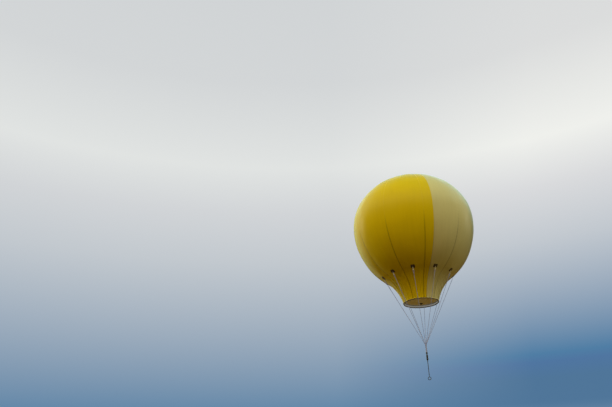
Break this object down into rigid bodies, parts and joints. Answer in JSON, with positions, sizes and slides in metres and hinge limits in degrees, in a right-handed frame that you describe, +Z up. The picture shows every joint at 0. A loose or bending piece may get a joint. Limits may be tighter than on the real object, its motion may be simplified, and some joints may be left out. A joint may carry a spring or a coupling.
{
  "type": "tethered display balloon of hot air balloon shape",
  "caption": "Gas-tight balloon of hot air balloon shape with a closed neck, load patches, a rope bridle, a swivel and a tether ring, in yellow and cream.",
  "frame": {"origin": "centre of the envelope's widest level, on its axis, where the air holds it up", "axes": "+Z up along the envelope's axis, +Y the way the picture's camera heads, with a gore seam at -Y"},
  "size_m": [5, 5, 8.5321],
  "materials": {
    "yellow_fabric": "coated, semi-gloss",
    "cream_fabric": "coated, semi-gloss",
    "disc_fabric": "coated, semi-gloss",
    "hem_fabric": "coated, semi-gloss",
    "patch_fabric": "coated, matt",
    "webbing": "woven",
    "bridle_rope": "braided",
    "tether_rope": "braided",
    "black_metal": "satin black",
    "steel": "dark, polished by wear",
    "valve_plastic": "matt"
  },
  "bodies": {
    "balloon": {"gore_1_yellow": "yellow_fabric", "gore_2_yellow": "yellow_fabric", "gore_3_yellow_side": "yellow_fabric", "gore_3_cream_side": "cream_fabric", "gore_4_cream": "cream_fabric", "gore_5_cream": "cream_fabric", "gore_6_cream": "cream_fabric", "gore_7_cream": "cream_fabric", "gore_8_cream_side": "cream_fabric", "gore_8_yellow_side": "yellow_fabric", "gore_9_yellow": "yellow_fabric", "gore_10_yellow": "yellow_fabric", "crown_patch": "cream_fabric", "neck_hem": "hem_fabric", "mouth_disc": "disc_fabric", "filling_valve": "valve_plastic", "load_patch_1": "patch_fabric", "load_strap_1": "webbing", "bridle_rope_1": "bridle_rope", "load_patch_2": "patch_fabric", "load_strap_2": "webbing", "bridle_rope_2": "bridle_rope", "load_patch_3": "patch_fabric", "load_strap_3": "webbing", "bridle_rope_3": "bridle_rope", "load_patch_4": "patch_fabric", "load_strap_4": "webbing", "bridle_rope_4": "bridle_rope", "load_patch_5": "patch_fabric", "load_strap_5": "webbing", "bridle_rope_5": "bridle_rope", "load_patch_6": "patch_fabric", "load_strap_6": "webbing", "bridle_rope_6": "bridle_rope", "load_patch_7": "patch_fabric", "load_strap_7": "webbing", "bridle_rope_7": "bridle_rope", "load_patch_8": "patch_fabric", "load_strap_8": "webbing", "bridle_rope_8": "bridle_rope", "load_patch_9": "patch_fabric", "load_strap_9": "webbing", "bridle_rope_9": "bridle_rope", "load_patch_10": "patch_fabric", "load_strap_10": "webbing", "bridle_rope_10": "bridle_rope", "rope_bundle": "bridle_rope", "bridle_collector": "black_metal", "swivel_barrel": "black_metal"},
    "tether": {"swivel_stem": "black_metal", "tether_line": "tether_rope", "tether_ring": "steel"}
  },
  "joints": [
    {"name": "tether_swivel", "type": "hinge", "parent": "balloon", "child": "tether", "pos_m": [0, 0, -5.5], "axis": [0, 0, 1], "continuous": true}
  ]
}
